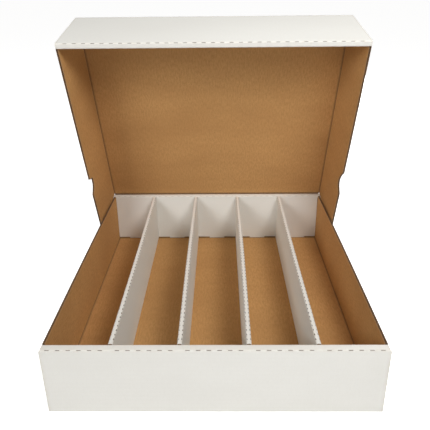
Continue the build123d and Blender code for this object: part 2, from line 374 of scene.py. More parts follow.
class Sheet:
    """Collects closed shells and turns them into one mesh with a paper for each shell."""

    def __init__(self, place):
        self.place = place
        self.points = []
        self.faces = []
        self.papers = []
        self.board_uv = []
        self.wear = []
        self.cut = []
        self.count = 0

    def add(self, fold, ways, alongs, depth, thickness, papers, dent=None, wear=None,
            shift=None):
        """One shell: faces at depth and at depth + thickness, over the grid of ways and alongs.

        The two papers are those of the face at depth and of the one below it."""
        dent_map = np.zeros_like(ways) if dent is None else dent
        wear_map = np.zeros_like(ways) if wear is None else wear
        grids = []
        for level in (depth, depth + thickness):
            flat = fold.at(ways, level + dent_map)
            solid = self.place(flat, alongs)
            if shift is not None:
                solid = solid + shift
            grids.append(solid)
        upper, lower = grids
        i, j = (n // 2 for n in ways.shape)
        i, j = min(i, ways.shape[0] - 2), min(j, ways.shape[1] - 2)
        facing = np.cross(upper[i + 1, j] - upper[i, j], upper[i, j + 1] - upper[i, j])
        faces = shell_faces(*ways.shape, self.count)
        if facing @ (upper[i, j] - lower[i, j]) < 0:
            faces = faces[:, ::-1]
        self.faces.append(faces)
        face_count = (ways.shape[0] - 1) * (ways.shape[1] - 1)
        edge_count = len(faces) - 2 * face_count
        self.papers.append(
            np.repeat([*papers, RAW_EDGE], [face_count, face_count, edge_count]))
        for grid in grids:
            self.points.append(grid.reshape(-1, 3))
            self.board_uv.append(np.stack([ways.ravel(), alongs.ravel()], axis=1))
            self.wear.append(wear_map.ravel())
            # Share of the dark cut colour: painted shade in the slits that grows with the dent's depth.
            self.cut.append(np.clip(dent_map.ravel() / SLIT_SHADE_DEPTH, 0, 1))
        self.count += 2 * ways.size

    def make(self, name, papers, seed):
        """The mesh object, with the papers as material slots and its board map in metres."""
        points = np.concatenate(self.points)
        faces = np.concatenate(self.faces)
        mesh = bpy.data.meshes.new(name)
        mesh.vertices.add(len(points))
        mesh.vertices.foreach_set("co", points.ravel())
        mesh.loops.add(faces.size)
        mesh.loops.foreach_set("vertex_index", faces.ravel())
        mesh.polygons.add(len(faces))
        mesh.polygons.foreach_set("loop_start", np.arange(len(faces)) * 4)
        for paper in papers:
            mesh.materials.append(paper)
        mesh.polygons.foreach_set("material_index", np.concatenate(self.papers))
        mesh.polygons.foreach_set("use_smooth", np.ones(len(faces), bool))
        uv = np.concatenate(self.board_uv)[faces.ravel()] + seed * np.array(MAP_OFFSET)
        mesh.uv_layers.new(name="board").data.foreach_set("uv", uv.ravel())
        for label, values in (("wear", self.wear), ("cut", self.cut)):
            layer = mesh.attributes.new(label, "FLOAT", "POINT")
            layer.data.foreach_set("value", np.concatenate(values))
        mesh.update(calc_edges=True)
        mesh.validate()
        mesh.set_sharp_from_angle(angle=SHARP_EDGE)
        piece = bpy.data.objects.new(name, mesh)
        bpy.context.scene.collection.objects.link(piece)
        return piece


def grid(ways, shares):
    """Two equal grids from a list of distances and a list of places along each row."""
    return np.meshgrid(np.asarray(ways, float), np.asarray(shares, float), indexing="ij")


def near(value, target, reach):
    """1 at the target, falling to 0 at a reach away, squared."""
    return np.clip(1 - np.abs(value - target) / reach, 0, 1) ** 2


class Slits:
    """A row of cuts along a crease, each with a sloping lip all round."""

    def __init__(self, creases, centres, length, width):
        self.centres = np.asarray(centres)
        self.length = length
        self.width = width
        self.lip = creases.slit_lip
        self.depth = creases.slit_depth

    def steps(self, size):
        """Places across a cut of one size: lip, edge, middle, edge and lip."""
        return np.array([-size / 2 - self.lip, -size / 2, 0, size / 2, size / 2 + self.lip])

    def stops(self):
        """Places along the crease where the cuts start and end."""
        return (self.centres[:, None] + self.steps(self.length)).ravel()

    def rows(self, crease):
        """Distances across the crease that a cut needs."""
        return crease + self.steps(self.width)

    def dent(self, ways, alongs, crease):
        """Depth: full inside each cut's length and width, falling to 0 over its lip."""
        gap = np.min(np.abs(alongs[..., None] - self.centres), axis=-1)
        over_length = np.clip((self.length / 2 + self.lip - gap) / self.lip, 0, 1)
        over_width = (self.width / 2 + self.lip - np.abs(ways - crease)) / self.lip
        return self.depth * over_length * np.clip(over_width, 0, 1)


def flute_rows(first, last, pitch):
    """Distances close enough together to draw each flute smoothly."""
    count = max(int(np.ceil((last - first) / pitch * POINTS_PER_FLUTE)), 3)
    return np.linspace(first, last, count + 1)


def add_board(sheet, fold, ways, alongs, settings, flute_ways, flute_alongs,
              dent=None, wear=None, shift=None, flute_shift=None, crushed=()):
    """Outer liner, inner liner and waved paper of one panel.

    The waved paper's depth is the board's middle plus a sine of the distance over the pitch.
    The wave is crushed flat at each perforated crease and full a few millimetres from it."""
    liner, medium, pitch = settings.liner, settings.medium, settings.flute_pitch
    sheet.add(fold, ways, alongs, 0, liner, (OUTER, RAW_EDGE), dent, wear, shift)
    sheet.add(fold, ways, alongs, fold.thickness - liner, liner, (RAW_EDGE, INNER), None, wear,
              shift)
    swing = np.full(flute_ways.shape, fold.thickness / 2 - liner - medium / 2)
    for crease in crushed:
        swing *= np.clip(np.abs(flute_ways - crease) / settings.crushed_reach, 0, 1)
    depth = fold.thickness / 2 - medium / 2 + swing * np.sin(2 * pi * flute_ways / pitch)
    sheet.add(fold, flute_ways, flute_alongs, depth, medium, (RAW_EDGE, RAW_EDGE), None, None,
              flute_shift)


def finish_piece(piece, body, node):
    """Rides on a body and stands for its node."""
    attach(piece, body)
    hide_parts(node)


# ---- materials ---------------------------------------------------------------------------
ROUGHNESS, ROUGHNESS_SWING = 0.74, 0.12
GRAIN_HEIGHT, FIBRE_HEIGHT = 0.35, 0.5          # shares of the paper's relief
SCORE_AND_SHADE_DEPTH = 0.75                              # how dark a score line and its painted corner shade are
BUMP_HEIGHT = 0.12 * MM                         # relief of fibres and flute ridges
# Distances from a board's brown face: brown up to the first, white from the second.
BROWN_DEPTH, WHITE_DEPTH = 0.05 * MM, 0.15 * MM


def feed(tree, node, values):
    """Links each input of a node to a socket, or gives it a plain value."""
    for key, value in values.items():
        if isinstance(value, bpy.types.NodeSocket):
            tree.links.new(value, node.inputs[key])
        else:
            node.inputs[key].default_value = value


def add_node(tree, kind, values=None, **settings):
    """A shader node with its settings and what feeds its inputs."""
    node = tree.nodes.new(kind)
    for key, value in settings.items():
        setattr(node, key, value)
    feed(tree, node, values or {})
    return node


def new_group(name, inputs, outputs):
    """A shader node group with named sockets; returns tree, its inputs and outputs nodes."""
    tree = bpy.data.node_groups.new(name, "ShaderNodeTree")
    for label, kind in inputs:
        tree.interface.new_socket(label, in_out="INPUT", socket_type=f"NodeSocket{kind}")
    for label, kind in outputs:
        tree.interface.new_socket(label, in_out="OUTPUT", socket_type=f"NodeSocket{kind}")
    return tree, tree.nodes.new("NodeGroupInput"), tree.nodes.new("NodeGroupOutput")


def use_group(tree, group, values):
    """An instance of a node group in a tree."""
    return add_node(tree, "ShaderNodeGroup", values, node_tree=group)


def math_node(tree, operation, first, second=None, clamp=False):
    """A math node fed by sockets or plain numbers; returns its output socket."""
    values = {0: first} if second is None else {0: first, 1: second}
    node = add_node(tree, "ShaderNodeMath", values, operation=operation, use_clamp=clamp)
    return node.outputs[0]


def mix_colour(tree, factor, first, second):
    """A colour mix fed by sockets or plain colours; returns its output socket."""
    node = add_node(tree, "ShaderNodeMix", {0: factor, 6: first, 7: second}, data_type="RGBA")
    return node.outputs[2]


def noise(tree, vector, scale, detail, roughness, stretch=(1, 1, 1)):
    """Noise on a stretched copy of a vector in metres; returns the value socket."""
    mapping = add_node(tree, "ShaderNodeMapping", {"Vector": vector, "Scale": stretch})
    texture = add_node(tree, "ShaderNodeTexNoise", {
        "Vector": mapping.outputs[0], "Scale": scale, "Detail": detail, "Roughness": roughness})
    return texture.outputs[0]


def between(tree, value, low, high):
    """Value mapped from low..high to 0..1 and kept inside."""
    node = add_node(
        tree, "ShaderNodeMapRange", {"Value": value, "From Min": low, "From Max": high})
    return node.outputs[0]


def paper_fibres_group():
    """Long and short fibres and scattered flecks of uncoated paper, from a vector in metres."""
    tree, given, result = new_group(
        "paper fibres", [("Vector", "Vector")],
        [("Fibres", "Float"), ("Grain", "Float"), ("Flecks", "Float")])
    vector = given.outputs["Vector"]
    fibres = noise(tree, vector, scale=420, detail=4, roughness=0.6, stretch=(0.35, 1, 1))
    grain = noise(tree, vector, scale=900, detail=2, roughness=0.5)
    specks = noise(tree, vector, scale=1100, detail=1, roughness=0.4, stretch=(0.5, 1, 1))
    flecks = between(tree, specks, low=0.66, high=0.76)
    feed(tree, result, {"Fibres": fibres, "Grain": grain, "Flecks": flecks})
    return tree


def washboard_group():
    """Faint ridges that the flutes press through a liner: a sine across the flutes."""
    tree, given, result = new_group(
        "flute washboard", [("Vector", "Vector"), ("Pitch", "Float")], [("Height", "Float")])
    parts = add_node(tree, "ShaderNodeSeparateXYZ", {0: given.outputs["Vector"]})
    turns = math_node(tree, "DIVIDE", parts.outputs[0], given.outputs["Pitch"])
    wave = math_node(tree, "SINE", math_node(tree, "MULTIPLY", turns, 2 * pi))
    patches = noise(tree, given.outputs["Vector"], scale=14, detail=2, roughness=0.5)
    feed(tree, result, {"Height": math_node(tree, "MULTIPLY", wave, patches)})
    return tree


def board_paper_group(fibres_group, ridge_group):
    """One facing paper: colour drifting between two tones, with fibres, flecks and ridges."""
    tree, given, result = new_group(
        "board paper",
        [("Vector", "Vector"), ("Colour", "Color"), ("Shade", "Color"), ("Fleck", "Color"),
         ("Mottle", "Float"), ("Grain", "Float"), ("Pitch", "Float"), ("Ridges", "Float")],
        [("Colour", "Color"), ("Roughness", "Float"), ("Height", "Float")])
    vector = given.outputs["Vector"]
    fibres = use_group(tree, fibres_group, {"Vector": vector})
    ridges = use_group(tree, ridge_group, {"Vector": vector, "Pitch": given.outputs["Pitch"]})
    clouds = noise(tree, vector, scale=9, detail=3, roughness=0.6, stretch=(1, 0.4, 1))
    drift = between(tree, clouds, low=0.35, high=0.70)
    drift = math_node(tree, "MULTIPLY", drift, given.outputs["Mottle"], clamp=True)
    tone = mix_colour(tree, drift, given.outputs["Colour"], given.outputs["Shade"])
    strands = between(tree, fibres.outputs["Fibres"], low=0.38, high=0.68)
    strands = math_node(tree, "MULTIPLY", strands, given.outputs["Grain"], clamp=True)
    tone = mix_colour(tree, strands, tone, given.outputs["Shade"])
    flecks = math_node(tree, "MULTIPLY", fibres.outputs["Flecks"], given.outputs["Grain"])
    tone = mix_colour(tree, flecks, tone, given.outputs["Fleck"])
    rough = math_node(tree, "MULTIPLY", fibres.outputs["Fibres"], ROUGHNESS_SWING)
    rough = math_node(tree, "ADD", rough, ROUGHNESS)
    ridge_height = math_node(tree, "MULTIPLY", ridges.outputs["Height"], given.outputs["Ridges"])
    grain_height = math_node(tree, "MULTIPLY", fibres.outputs["Grain"], GRAIN_HEIGHT)
    fibre_height = math_node(tree, "MULTIPLY", fibres.outputs["Fibres"], FIBRE_HEIGHT)
    height = math_node(tree, "ADD", grain_height, ridge_height)
    height = math_node(tree, "ADD", height, fibre_height)
    feed(tree, result, {"Colour": tone, "Roughness": rough, "Height": height})
    return tree


def score_and_shade_group():
    """Dark lines along a panel's four edges, a pressed score and painted shade where the panel meets
    its walls: 1 at each edge, 0 a few millimetres away.
    """
    tree, given, result = new_group(
        "score lines",
        [("Vector", "Vector"), ("Low", "Vector"), ("High", "Vector"), ("Width", "Float")],
        [("Mask", "Float")])
    vector, low, high = (given.outputs[label] for label in ("Vector", "Low", "High"))
    gaps = []
    for larger, smaller in ((vector, low), (high, vector)):
        gap = add_node(
            tree, "ShaderNodeVectorMath", {0: larger, 1: smaller}, operation="SUBTRACT")
        parts = add_node(tree, "ShaderNodeSeparateXYZ", {0: gap.outputs[0]})
        gaps.append(math_node(tree, "MINIMUM", parts.outputs[0], parts.outputs[1]))
    nearest = math_node(tree, "ABSOLUTE", math_node(tree, "MINIMUM", *gaps))
    share = math_node(tree, "DIVIDE", nearest, given.outputs["Width"])
    feed(tree, result, {"Mask": math_node(tree, "SUBTRACT", 1, share, clamp=True)})
    return tree


def edge_wear_and_slit_shade_group():
    """Rubbed paper along creases and raw edges, and dark fibres inside cuts, painted shade that deepens
    with the cut's depth.
    """
    tree, given, result = new_group(
        "edge wear",
        [("Vector", "Vector"), ("Colour", "Color"), ("Scuff", "Color"), ("Torn", "Color"),
         ("Wear", "Float"), ("Cut", "Float"), ("Amount", "Float")],
        [("Colour", "Color")])
    blotches = noise(tree, given.outputs["Vector"], scale=160, detail=3, roughness=0.65)
    patchy = between(tree, blotches, low=0.30, high=0.75)
    rubbed = math_node(tree, "MULTIPLY", given.outputs["Wear"], patchy)
    rubbed = math_node(tree, "MULTIPLY", rubbed, given.outputs["Amount"], clamp=True)
    tone = mix_colour(tree, rubbed, given.outputs["Colour"], given.outputs["Scuff"])
    # Painted shade inside the cuts: toward the dark cut colour by the cut's depth.
    tone = mix_colour(tree, given.outputs["Cut"], tone, given.outputs["Torn"])
    feed(tree, result, {"Colour": tone})
    return tree


def attribute(tree, name):
    """The value of one of the sheet's own attributes."""
    return add_node(tree, "ShaderNodeAttribute", attribute_name=name).outputs["Fac"]


def empty_tree(owner):
    """The cleared node tree of a material or a world."""
    owner.use_nodes = True
    owner.node_tree.nodes.clear()
    return owner.node_tree


def paper_material(name):
    """A material with its shader and output; returns material, tree and shader."""
    material = bpy.data.materials.new(name)
    tree = empty_tree(material)
    shader = add_node(tree, "ShaderNodeBsdfPrincipled", {"IOR": 1.45, "Specular IOR Level": 0.3})
    add_node(tree, "ShaderNodeOutputMaterial", {"Surface": shader.outputs[0]})
    return material, tree, shader


def link_surface(tree, shader, colour, roughness, height):
    """Colour, roughness and bump of a paper into its shader."""
    bump = add_node(
        tree, "ShaderNodeBump", {"Distance": BUMP_HEIGHT, "Strength": 0.5, "Height": height})
    feed(tree, shader, {
        "Base Color": colour, "Roughness": roughness, "Normal": bump.outputs[0]})


class Papers:
    """All papers of the box, made once from the settings."""

    def __init__(self, settings):
        self.settings = settings
        colours = settings.papers
        fibres = paper_fibres_group()
        self.paper = board_paper_group(fibres, washboard_group())
        self.wear = edge_wear_and_slit_shade_group()
        self.scores_and_shade = score_and_shade_group()
        self.tones = {
            "white": dict(Colour=colours.white, Shade=colours.white_shade,
                          Fleck=colours.scuff, Mottle=0.35, Grain=0.16, Ridges=0.5),
            "kraft": dict(Colour=colours.kraft, Shade=colours.kraft_shade,
                          Fleck=colours.cut, Mottle=0.55, Grain=0.55, Ridges=0.8),
            "flute": dict(Colour=colours.flute, Shade=colours.cut,
                          Fleck=colours.kraft, Mottle=0.5, Grain=0.6, Ridges=0),
        }
        self.set = (
            self.sheet_paper("white liner", "white", wear_amount=0.4),
            self.sheet_paper("kraft liner", "kraft", wear_amount=0.6),
            self.sheet_paper("flute paper", "flute", wear_amount=0),
        )

    def tone_node(self, tree, tone, vector):
        """The board paper group in a tree with one paper's colours."""
        values = {key: (*value, 1) if hasattr(value, "__len__") else value
                  for key, value in self.tones[tone].items()}
        return use_group(tree, self.paper, {
            **values, "Vector": vector, "Pitch": self.settings.board.flute_pitch})

    def sheet_paper(self, name, tone, wear_amount):
        """Paper of the sheets, laid out by their board map."""
        material, tree, shader = paper_material(name)
        vector = add_node(tree, "ShaderNodeUVMap", uv_map="board").outputs[0]
        paper = self.tone_node(tree, tone, vector)
        colours = self.settings.papers
        # Rubbed paper by the wear attribute, and painted shade inside the slits by the cut attribute.
        wear = use_group(tree, self.wear, {
            "Vector": vector, "Colour": paper.outputs["Colour"], "Scuff": (*colours.scuff, 1),
            "Torn": (*colours.cut, 1), "Wear": attribute(tree, "wear"),
            "Cut": attribute(tree, "cut"), "Amount": wear_amount})
        link_surface(tree, shader, wear.outputs["Colour"], paper.outputs["Roughness"],
                     paper.outputs["Height"])
        return material

    def two_sided_board(self, name, origin, across, outward, low, high):
        """Board of a solid node, brown inside and white from just under its outward face.

        Object coordinates are turned so that x runs across the flutes and z outwards. The brown side
        has a dark line round the rectangle from low to high: a pressed score and painted shade where
        the panel meets its walls."""
        material, tree, shader = paper_material(name)
        turn = Matrix((Vector(across), Vector((1, 0, 0)), Vector(outward)))
        coordinates = add_node(tree, "ShaderNodeTexCoord")
        mapping = add_node(tree, "ShaderNodeMapping", {
            "Vector": coordinates.outputs["Object"], "Rotation": turn.to_euler(),
            "Location": -(turn @ Vector(origin))})
        vector = mapping.outputs[0]
        parts = add_node(tree, "ShaderNodeSeparateXYZ", {0: vector})
        white_side = between(tree, parts.outputs[2], low=BROWN_DEPTH, high=WHITE_DEPTH)
        white = self.tone_node(tree, "white", vector)
        kraft = self.tone_node(tree, "kraft", vector)
        scores_and_shade = use_group(tree, self.scores_and_shade, {
            "Vector": vector, "Low": low, "High": high,
            "Width": self.settings.creases.score_and_shade_width})
        # Painted shade: the brown side darkens toward the cut colour along its edges, standing in for
        # the shade where the panel meets its walls, on top of the pressed score.
        score_and_shade_share = math_node(tree, "MULTIPLY", scores_and_shade.outputs["Mask"], SCORE_AND_SHADE_DEPTH)
        score_shade_colour = (*self.settings.papers.cut, 1)
        brown = mix_colour(tree, score_and_shade_share, kraft.outputs["Colour"], score_shade_colour)
        colour = mix_colour(tree, white_side, brown, white.outputs["Colour"])
        link_surface(tree, shader, colour, kraft.outputs["Roughness"], kraft.outputs["Height"])
        return material


shared = {}


def papers_of(context):
    """The papers, made when the first piece asks for them."""
    if "papers" not in shared:
        shared["papers"] = Papers(context.scene.card_box)
    return shared["papers"]


# ---- rolled-over walls ---------------------------------------------------------------
RUB_REACH = 3 * MM                              # rubbed paper on both sides of a crease
END_RUB_REACH = 1.2 * MM                        # the same along a wall's raw ends
END_RUB = 0.8                                   # how strong it is there
STRIP_START = 2.2 * MM                          # the rolled strip narrows this far from a crease
END_CLEAR = 0.3 * MM                            # what lies closer to an end belongs to it
LAST_COLUMN = 1 * MM                            # no slit's stop comes closer to a wall's end
FULL_CUTS, SHALLOW_CUTS = 1, 0.25               # the inner crease's cuts, as shares of the depth
PANEL_SEED = 0.17                               # shifts the pattern from panel to panel


def rolled_wall(context, nodes, place, corners, half, strip_half, panel_half, tab_end,
                panel_end, centres, radius, inner_cuts, body, seed):
    """Outer panel, top strip and inner panel of one rolled-over wall.

    The section runs up the outside, over the rim and down the inside; it is carried along
    the wall, cut at both perforated creases, and its last row drops at the lock tabs. The
    outer panel's ends draw in over the last radius of height, by the radius less the root of
    its square minus the rise squared, as a quarter circle does."""
    settings = context.scene.card_box
    board_set, creases = settings.board, settings.creases
    fold = Fold(corners, ply, board_set.crease_radius, side=-1)
    outer_crease, inner_crease = fold.arc_middles[-2:]
    top = corners[-2][1]
    slits = Slits(creases, centres, creases.slit_length, creases.slit_width)
    papers = papers_of(context)
    inner_top = fold.arc_ends[-1] + board - board_set.crease_radius
    panel_edge = fold.end - (panel_end - tab_end)
    tabs = np.concatenate([row_xs - creases.tab_width / 2, row_xs + creases.tab_width / 2])
    tab_stops = np.concatenate([tabs - 2 * STEP, tabs + 2 * STEP])
    stops = slits.stops()
    sections = (
        (0, outer_crease, stops),
        (outer_crease, inner_crease, stops),
        (inner_crease, fold.end, np.concatenate([stops, tab_stops])),
    )
    for index, (node, (first, last, columns)) in enumerate(zip(nodes, sections)):
        extra = [*slits.rows(outer_crease), *slits.rows(inner_crease)]
        extra += [inner_top - STEP, inner_top + STEP]
        extra += [outer_crease - RUB_REACH, outer_crease - STRIP_START, inner_crease + RUB_REACH]
        extra += [panel_edge - RUB_REACH]
        ways_list = fold.rows(first, last, extra)
        is_inner = node == nodes[-1]
        if is_inner:
            ways_list = ways_list[ways_list < panel_edge - END_CLEAR]
            ways_list = np.append(ways_list, fold.end)
        columns = np.sort(columns[np.abs(columns) < panel_half - LAST_COLUMN])
        ends = panel_half - np.array([0, END_MARGIN])
        columns = np.concatenate([-ends, columns, ends[::-1]])
        ways, shares = grid(ways_list, columns)
        if is_inner:
            in_tab = np.min(np.abs(columns[:, None] - row_xs), axis=1) < creases.tab_width / 2
            ways[-1] = np.where(in_tab, fold.end, panel_edge)
        height = fold.at(ways, 0)[..., 1]
        reach = np.full(ways.shape, half)
        over = np.clip((height - (top - radius)) / radius, 0, 1)
        reach -= radius - np.sqrt(np.maximum(radius ** 2 - (over * radius) ** 2, 0))
        reach = np.maximum(reach, strip_half)
        reach = np.where(ways > outer_crease + STRIP_START, strip_half, reach)
        reach = np.where(ways > inner_top, panel_half, reach)
        at_end = np.abs(shares) > panel_half - END_CLEAR
        alongs = np.where(at_end, np.sign(shares) * reach, shares)
        dent = np.maximum(slits.dent(ways, alongs, outer_crease),
                          inner_cuts * slits.dent(ways, alongs, inner_crease))
        wear = np.maximum.reduce([
            near(ways, outer_crease, RUB_REACH), near(ways, inner_crease, RUB_REACH),
            END_RUB * near(np.abs(alongs), reach, END_RUB_REACH)])
        flute_last = panel_edge if is_inner else last
        flute_list = flute_rows(first, flute_last, board_set.flute_pitch)
        flute_ways, flute_shares = grid(flute_list, (-1, 1))
        flute_reach = np.interp(flute_list, ways[:, 0], reach[:, 0])[:, None] - FLUTE_SETBACK
        sheet = Sheet(place)
        add_board(sheet, fold, ways, alongs, board_set, flute_ways, flute_shares * flute_reach,
                  dent, wear, crushed=(outer_crease, inner_crease))
        name = node.rsplit("_", 1)[0] + "_board"
        piece = sheet.make(name, papers.set, seed + index * PANEL_SEED)
        finish_piece(piece, body, node)


class CARDBOX_OT_base_walls(bpy.types.Operator):
    """Front and back walls of the base, each one board rolled over at the rim"""

    bl_idname = "card_box.base_walls"
    bl_label = "Base front and back walls"

    def execute(self, context):
        settings = context.scene.card_box
        board_set, creases = settings.board, settings.creases
        slit_offsets = creases.base_pitch * (
            np.arange(creases.base_count) - (creases.base_count - 1) / 2)
        centres = (row_xs[:, None] + slit_offsets).ravel()
        panel_end = floor_high[2] + creases.panel_gap
        corners = [(board, 0), (0, 0), (0, rim), (rolled_depth, rim), (rolled_depth, tab_drop_z)]
        back_half = half_width + board_set.back_spread
        walls = (
            ("front", front_y, 1, half_width, side_outer, board_set.corner_radius, FULL_CUTS, 1),
            ("back", back_y, -1, back_half, back_half, board_set.back_corner_radius,
             SHALLOW_CUTS, 2))
        for wall, y, direction, half, strip_half, radius, inner_cuts, seed in walls:
            def place(flat, along, y=y, direction=direction):
                """The section carried along x, its first value inwards from the face at y."""
                return np.stack([along, y + direction * flat[..., 0], flat[..., 1]], axis=-1)

            nodes = [f"{wall}_wall_{part}" for part in ("outer_panel", "top_strip", "inner_panel")]
            rolled_wall(context, nodes, place, corners, half, strip_half, inner_half,
                        tab_drop_z, panel_end, centres, radius, inner_cuts, "base", seed)
        return {"FINISHED"}


class CARDBOX_OT_lid_front(bpy.types.Operator):
    """Front wall of the lid, one board rolled over at its free edge"""

    bl_idname = "card_box.lid_front"
    bl_label = "Lid front wall"

    def execute(self, context):
        settings = context.scene.card_box
        creases = settings.creases
        lid = OpenLid(settings.studio.lid_lean)
        outer = lid.box_of("lid_front_wall_outer_panel")
        edge = lid.box_of("lid_front_wall_edge_strip")
        inner = lid.box_of("lid_front_wall_inner_panel")
        far, reach, start = edge[1][1], edge[1][2], outer[0][2]
        depth = far - edge[0][1]
        tab_end = inner[0][2]

        def place(flat, along):
            """The section carried along x, back from the far end and into the lid."""
            return lid.place(along, far - flat[..., 0], flat[..., 1])

        corners = [(0, start), (0, reach), (depth, reach), (depth, tab_end)]
        centres = creases.lid_pitch * (np.arange(creases.lid_count) - (creases.lid_count - 1) / 2)
        nodes = [f"lid_front_wall_{part}" for part in ("outer_panel", "edge_strip", "inner_panel")]
        rolled_wall(context, nodes, place, corners, edge[1][0], edge[1][0], inner[1][0], tab_end,
                    start + creases.panel_gap, centres, settings.board.corner_radius,
                    FULL_CUTS, "lid", seed=3)
        return {"FINISHED"}


# ---- side boards: a side wall with its corner flaps -------------------------------------
# Rows from the lower edge to the free edge, as shares of the height.
EDGE_SHARES = (0, 0.005, 0.01, 0.019, 0.03, 0.25, 0.5, 0.75, 0.93, 0.975, 1)
FREE_EDGE_RUB = 0.03                            # share of the height that is rubbed
BASE_BOW_ROWS, LID_BOW_ROWS, NOTCH_ROWS = 17, 15, 27
CRISP_POWER = 5                                 # the higher, the squarer a notch's corner
LID_BOW = 0.6                                   # the lid's side walls bow less than the base's
SIDE_SEED = 0.13                                # shifts the pattern from panel to panel


def side_board(context, panels, place, fold, low_high, extra, bow, body, seed):
    """A side board's panels, its section carried up from the fold to the raw free edge.

    A panel is a piece's name, its node and where along the fold it starts and ends. The
    free edge's height is a function of the distance along the board."""
    settings = context.scene.card_box
    board_set = settings.board
    papers = papers_of(context)
    for index, (name, node, first, last) in enumerate(panels):
        ways_list = fold.rows(first, last, extra)
        ways, shares = grid(ways_list, EDGE_SHARES)
        low, high = low_high(ways, name)
        alongs = low + shares * (high - low)
        wear = near(shares, 1, FREE_EDGE_RUB)
        flute_list = fold.rows(
            first, last, [*flute_rows(first, last, board_set.flute_pitch), *extra])
        flute_ways, flute_shares = grid(flute_list, (0, 1))
        flute_low, flute_high = low_high(flute_ways, name)
        flute_alongs = flute_low + flute_shares * (flute_high - flute_low)
        flute_alongs[:, -1] -= FLUTE_SETBACK
        sheet = Sheet(place)
        add_board(sheet, fold, ways, alongs, board_set, flute_ways, flute_alongs,
                  None, wear, bow(ways, shares), bow(flute_ways, flute_shares))
        piece = sheet.make(name, papers.set, seed + index * SIDE_SEED)
        finish_piece(piece, body, node)


class CARDBOX_OT_base_sides(bpy.types.Operator):
    """Side walls of the base, each one board with a corner flap at both ends"""

    bl_idname = "card_box.base_sides"
    bl_label = "Base side walls"

    def execute(self, context):
        settings = context.scene.card_box
        start, stop = front_y + board, back_y - board
        corners = [(flap_reach, start), (0, start), (0, stop), (flap_reach, stop)]
        flap_top = flap_high[2]
        for side, seed in ((-1, 4), (1, 5)):
            word = "left" if side < 0 else "right"
            fold = Fold(corners, ply, settings.board.crease_radius, side=-1)
            first, last = fold.arc_middles
            covered = rolled_depth - board
            under_front = fold.arc_starts[0] + covered
            under_back = fold.arc_ends[1] - covered

            def low_high(ways, name):
                """A panel's two edges; the wall's upper one steps down under the rolled strips."""
                wall = name.endswith("side_board")
                low = np.full(ways.shape, 0.0 if wall else floor_high[2])
                free = (ways > under_front) & (ways < under_back)
                high = np.where(free, rim, wall_top - STEP)
                return low, high if wall else np.full(ways.shape, flap_top)

            def place(flat, along, side=side):
                """The section carried up z, its first value inwards from the side face."""
                return np.stack([side * (side_outer - flat[..., 0]), flat[..., 1], along], -1)

            def bow(ways, shares, side=side, first=first, last=last):
                """Outward shift: a half sine along the wall times the height's share squared."""
                swell = np.sin(pi * np.clip((ways - first) / (last - first), 0, 1)) * shares ** 2
                return swell[..., None] * np.array([side * settings.board.bow, 0, 0])

            extra = [under_front - STEP, under_front + STEP, under_back - STEP, under_back + STEP]
            extra += list(np.linspace(first, last, BASE_BOW_ROWS)[1:-1])
            panels = (
                (f"front_{word}_flap_board", f"front_{word}_corner_flap", 0, first),
                (f"base_{word}_side_board", f"base_{word}_wall", first, last),
                (f"back_{word}_flap_board", f"back_{word}_corner_flap", last, fold.end),
            )
            side_board(context, panels, place, fold, low_high, extra, bow, "base", seed)
        return {"FINISHED"}


class CARDBOX_OT_lid_sides(bpy.types.Operator):
    """Side walls of the lid with their thumb notches and corner flaps"""

    bl_idname = "card_box.lid_sides"
    bl_label = "Lid side walls"

    def execute(self, context):
        settings = context.scene.card_box
        creases = settings.creases
        lid = OpenLid(settings.studio.lid_lean)
        wall = lid.box_of("lid_left_wall")
        flap = lid.box_of("lid_left_corner_flap")
        edge = lid.box_of("lid_front_wall_edge_strip")
        outer_face = -wall[0][0]
        start, stop = -creases.hinge_overlap, wall[1][1]
        low_edge, free_edge = wall[0][2], wall[1][2]
        flap_end = outer_face + flap[1][0]
        corners = [(0, start), (0, stop), (flap_end, stop)]
        deep = creases.notch_depth
        for side, seed in ((-1, 6), (1, 7)):
            word = "left" if side < 0 else "right"
            fold = Fold(corners, ply, settings.board.crease_radius, side=-1)
            crease = fold.arc_middles[0]
            under_strip = edge[0][1] - start
            middle = creases.notch_centre - start
            worn = side > 0
            near_half = creases.notch_near
            far_half = creases.notch_far_worn if worn else creases.notch_far

            def low_high(ways, name):
                """The wall's two edges. A notch's depth is a cosine on its soft side. On its
                crisp side it is (1 - |x| ** power) ** (2 / power)."""
                low = np.full(ways.shape, low_edge)
                if not name.endswith("side_board"):
                    return low, np.full(ways.shape, flap[1][2])
                across = (ways - middle) / np.where(ways > middle, far_half, near_half)
                across = np.clip(across, -1, 1)
                soft = np.cos(pi / 2 * across)
                crisp = (1 - np.abs(across) ** CRISP_POWER) ** (2 / CRISP_POWER)
                notch = deep * (soft if worn else np.where(across > 0, crisp, soft))
                high = np.where(ways < under_strip, free_edge - notch, edge[0][2] - STEP)
                ear = ways < creases.hinge_overlap - STEP
                return low, np.where(ear, low_edge + creases.ear_height, high)

            def place(flat, along, side=side):
                """The section carried into the lid, its first value inwards from the side face."""
                return lid.place(side * (outer_face - flat[..., 0]), flat[..., 1], along)

            def bow(ways, shares, side=side, crease=crease):
                """Outward shift: a half sine along the wall times the height's share squared."""
                swell = np.sin(pi * np.clip(ways / crease, 0, 1)) * shares ** 2
                return swell[..., None] * np.array([side * LID_BOW * settings.board.bow, 0, 0])

            extra = list(middle + np.linspace(-near_half, far_half, NOTCH_ROWS))
            extra += [under_strip - STEP, under_strip + STEP]
            extra += [creases.hinge_overlap - 1.5 * STEP, creases.hinge_overlap - 0.5 * STEP]
            extra += list(np.linspace(0, crease, LID_BOW_ROWS)[1:-1])
            panels = (
                (f"lid_{word}_side_board", f"lid_{word}_wall", 0, crease),
                (f"lid_{word}_flap_board", f"lid_{word}_corner_flap", crease, fold.end),
            )
            side_board(context, panels, place, fold, low_high, extra, bow, "lid", seed)
        return {"FINISHED"}


